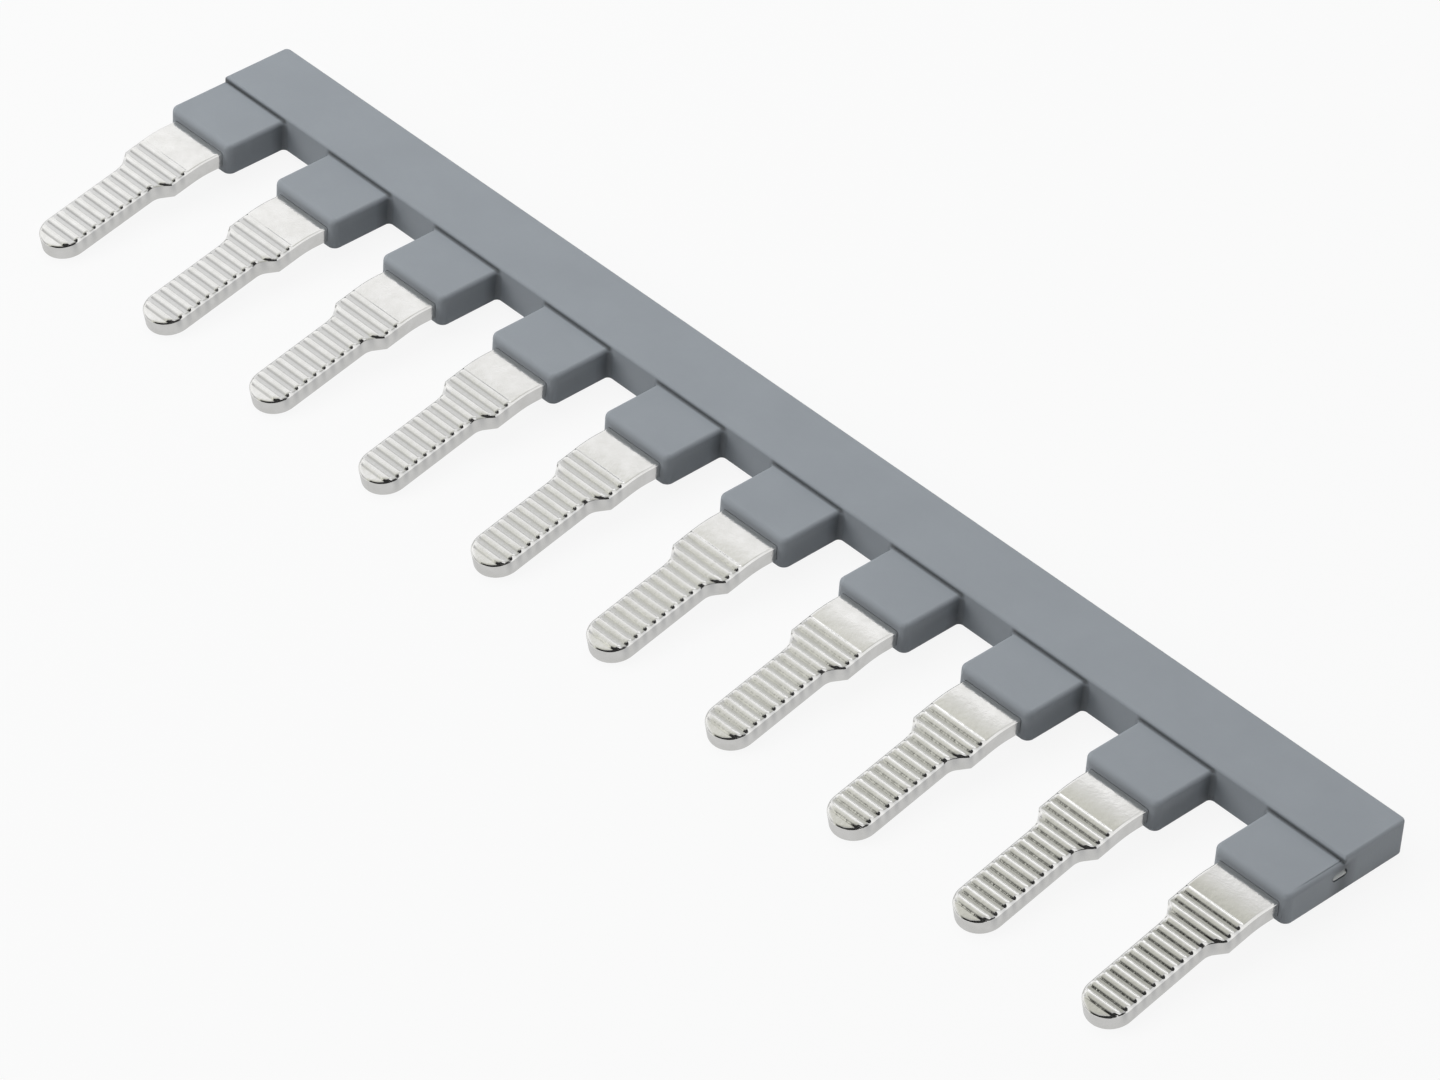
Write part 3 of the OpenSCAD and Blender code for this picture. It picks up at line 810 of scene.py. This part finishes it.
def glow_along(nodes, links, place, stops):
    """Glow along an axis of the studio.

    Each stop is a place in metres, its brightness and, for some, its warmth."""
    full = max(stop[1] for stop in stops)
    first, last = stops[0][0], stops[-1][0]
    fade = nodes.new("ShaderNodeValToRGB")
    points = fade.color_ramp.elements
    while len(points) < len(stops):
        points.new(0.5)
    for point, (at, glow, *warmth) in zip(points, stops):
        point.position = (at - first) / (last - first)
        point.color = (glow / full, glow / full, glow / full * (1 - sum(warmth)), 1)
    links.new(ramp(nodes, links, place, first, last, 0.0, 1.0), fade.inputs["Fac"])
    shine = nodes.new("ShaderNodeEmission")
    shine.inputs["Strength"].default_value = full
    links.new(fade.outputs["Color"], shine.inputs["Color"])
    return shine.outputs["Emission"]


def card_material(name, stops, axis, fade, second=None, seam=None):
    """Glow of a card along X, clear beyond a place on another axis; a second glow begins at a seam."""
    material, nodes, links = new_material(name)
    split = nodes.new("ShaderNodeSeparateXYZ")
    links.new(nodes.new("ShaderNodeTexCoord").outputs["Object"], split.inputs["Vector"])
    glow = glow_along(nodes, links, split.outputs["X"], stops)
    if second:
        mask = ramp(nodes, links, split.outputs[axis], *seam, 0.0, 1.0)
        glow = mixed(nodes, links, mask, glow, glow_along(nodes, links, split.outputs["X"], second))
    clear = nodes.new("ShaderNodeBsdfTransparent")
    mask = ramp(nodes, links, split.outputs[axis], *fade, 0.0, 1.0)
    surface = mixed(nodes, links, mask, glow, clear.outputs["BSDF"])
    links.new(surface, nodes["Material Output"].inputs["Surface"])
    return material


def look_at(place, aim, roll=0.0):
    """Matrix of a camera or lamp at a place, turned to a point."""
    turn = (Vector(aim) - Vector(place)).to_track_quat("-Z", "Y").to_matrix().to_4x4()
    return Matrix.Translation(place) @ turn @ Matrix.Rotation(roll, 4, "Z")


class JUMPERBAR_OT_studio(Operator):
    """Set the floor, the lamps, the cards that the metal mirrors and the camera"""

    bl_idname = "jumperbar.studio"
    bl_label = "Studio"

    def execute(self, context):
        self.floor()
        self.lamps()
        self.cards()
        self.world(context.scene)
        self.camera(context.scene)
        context.scene.view_settings.view_transform = "Standard"
        return {"FINISHED"}

    def sheet(self, name, size, stand, material):
        """Flat sheet of the studio, stood in its place."""
        bm = bmesh.new()
        bmesh.ops.create_grid(bm, x_segments=1, y_segments=1, size=0.5)
        bmesh.ops.scale(bm, vec=(*size, 1), verts=bm.verts)
        bmesh.ops.transform(bm, matrix=stand, verts=bm.verts)
        mesh = bpy.data.meshes.new(name)
        bm.to_mesh(mesh)
        bm.free()
        mesh.materials.append(material)
        sheet = bpy.data.objects.new(name, mesh)
        bpy.context.scene.collection.objects.link(sheet)
        return sheet

    def floor(self):
        self.sheet("floor", (6.0, 6.0), Matrix(), floor_material())

    def lamp(self, name, place, aim, size, radiance, tint):
        """Softbox of an even brightness, which lights the plastic and isn't mirrored in the metal."""
        light = bpy.data.lights.new(name, "AREA")
        light.shape = "RECTANGLE"
        light.size, light.size_y = size
        light.energy = radiance * math.pi * size[0] * size[1]
        light.color = tint
        lamp = bpy.data.objects.new(name, light)
        lamp.matrix_world = look_at(place, aim)
        lamp.visible_glossy = False
        bpy.context.scene.collection.objects.link(lamp)

    def lamps(self):
        st = studio()
        cool, white, warm = (0.95, 0.985, 1.0), (1, 0.995, 0.97), (1, 0.985, 0.95)
        self.lamp("overhead_softbox", (-0.4, 0.05, 0.6), (-0.4, 0.05, 0), (0.8, 0.7), st.overhead, cool)
        self.lamp("low_right_softbox", (0.3, 0.03, 0.03), (0, 0.01, 0), (0.2, 0.06), st.low_right, white)
        self.lamp("front_left_softbox", (-0.45, -0.42, 0.38), (0, 0, 0), (0.45, 0.4), st.front_left, warm)

    def card(self, name, place, aim, size, material, matte=False):
        """Card that the metal mirrors; a matte one shades the plastic instead."""
        card = self.sheet(name, size, look_at(place, aim), material)
        card.visible_camera = False
        card.visible_diffuse = card.visible_shadow = matte
        card.visible_glossy = not matte

    def cards(self):
        """Stands the cards; their stops run from what the left-hand tongues mirror to the right-hand ones."""
        over = [(-0.48, 1.08), (-0.36, 0.94), (-0.30, 0.80, 0.04), (-0.22, 0.66, 0.09), (-0.17, 0.52, 0.09),
                (-0.08, 0.6), (0.06, 1.0)]
        front = [(-0.54, 0.54), (-0.45, 0.72), (-0.385, 0.54, 0.04), (-0.33, 0.94, 0.1), (-0.29, 0.70, 0.1),
                 (-0.25, 0.0), (0.5, 0.02)]
        self.card("ceiling", (-0.25, -0.2, 0.45), (-0.25, -0.2, 0), (1.5, 1.26),
                  card_material("ceiling", over, "Y", (0.2, 0.42), front, (-0.06, -0.3)))
        roof = [(-0.62, 0.98), (-0.5, 1.0), (-0.43, 0.92), (-0.35, 1.06), (-0.32, 0.93), (-0.28, 0.75),
                (0.2, 0.9)]
        self.card("roof", (-0.3, 0.575, 0.47), (-0.3, 0.575, 0), (1.6, 0.75),
                  card_material("roof", roof, "Y", (0.8, 0.95)))
        back = [(-1.2, 1.1), (-0.87, 1.1), (-0.76, 0.9), (-0.67, 0.6), (-0.62, 0.7), (-0.56, 1.4), (0.5, 1.6)]
        self.card("back_card", (-0.45, 0.9, 0.27), (-0.45, 0, 0.27), (2.4, 0.5),
                  card_material("back_card", back, "Z", (0.47, 0.52)))
        low = [(-0.5, 0.50), (-0.41, 0.66), (-0.355, 0.50, 0.04), (-0.30, 0.92, 0.1), (-0.265, 0.62, 0.1),
               (-0.23, 0.0), (0.6, 0.02)]
        self.card("front_card", (0.0, -0.5, 0.25), (0.0, 0, 0.25), (1.3, 0.5),
                  card_material("front_card", low, "Z", (0.2, 0.12)))
        dark = [(0.0, 0.03), (1.0, 0.03)]
        self.card("camera_card", (0.36, -0.4, 0.44), (0.36, -0.4, 0), (0.84, 0.9),
                  card_material("camera_card", dark, "Y", (0.03, 0.11)))
        self.card("right_card", (0.36, 0.1, 0.25), (0, 0.1, 0.25), (1.1, 0.5),
                  card_material("right_card", dark, "Z", (0.46, 0.5)), True)

    def world(self, scene):
        world = bpy.data.worlds.new("studio")
        scene.world = world
        world.use_nodes = True
        nodes, links = world.node_tree.nodes, world.node_tree.links
        room = nodes["Background"]
        room.inputs["Color"].default_value = (1, 1, 1, 1)
        path = nodes.new("ShaderNodeLightPath").outputs
        mirrored = maths(nodes, links, "MAXIMUM", path["Is Glossy Ray"], path["Is Transmission Ray"])
        seen = maths(nodes, links, "MAXIMUM", path["Is Camera Ray"], mirrored)
        links.new(ramp(nodes, links, seen, 0.0, 1.0, studio().room, 1.0), room.inputs["Strength"])

    def camera(self, scene):
        st = studio()
        data = bpy.data.cameras.new("camera")
        data.sensor_fit = "HORIZONTAL"
        data.sensor_width = 36.0
        data.lens = st.camera_lens
        data.clip_start = 0.01
        camera = bpy.data.objects.new("camera", data)
        camera.matrix_world = look_at(st.camera_place, st.camera_aim, st.camera_roll)
        scene.collection.objects.link(camera)
        scene.camera = camera


class JUMPERBAR_PT_sidebar(Panel):
    """Lists the bar's sizes, finishes and pieces"""

    bl_label = "Jumper Bar"
    bl_idname = "JUMPERBAR_PT_sidebar"
    bl_space_type = "VIEW_3D"
    bl_region_type = "UI"
    bl_category = "Jumper Bar"

    def draw(self, context):
        column = self.layout.column(align=True)
        for operator in PIECES:
            column.operator(operator)
        for group in (sizes(), finish(), studio()):
            box = self.layout.box()
            for name in group.__annotations__:
                box.prop(group, name)


PIECES = ("jumperbar.moulded_body", "jumperbar.contact_comb", "jumperbar.studio")

CLASSES = (
    JumperBarSizes,
    JumperBarFinish,
    JumperBarStudio,
    JUMPERBAR_OT_moulded_body,
    JUMPERBAR_OT_contact_comb,
    JUMPERBAR_OT_studio,
    JUMPERBAR_PT_sidebar,
)


def register():
    for cls in CLASSES:
        bpy.utils.register_class(cls)
    bpy.types.Scene.jumper_bar_sizes = PointerProperty(type=JumperBarSizes)
    bpy.types.Scene.jumper_bar_finish = PointerProperty(type=JumperBarFinish)
    bpy.types.Scene.jumper_bar_studio = PointerProperty(type=JumperBarStudio)


def unregister():
    del bpy.types.Scene.jumper_bar_studio
    del bpy.types.Scene.jumper_bar_finish
    del bpy.types.Scene.jumper_bar_sizes
    for cls in reversed(CLASSES):
        bpy.utils.unregister_class(cls)


def main():
    register()
    bpy.ops.jumperbar.moulded_body()
    bpy.ops.jumperbar.contact_comb()
    bpy.ops.jumperbar.studio()


if __name__ == "__main__":
    main()
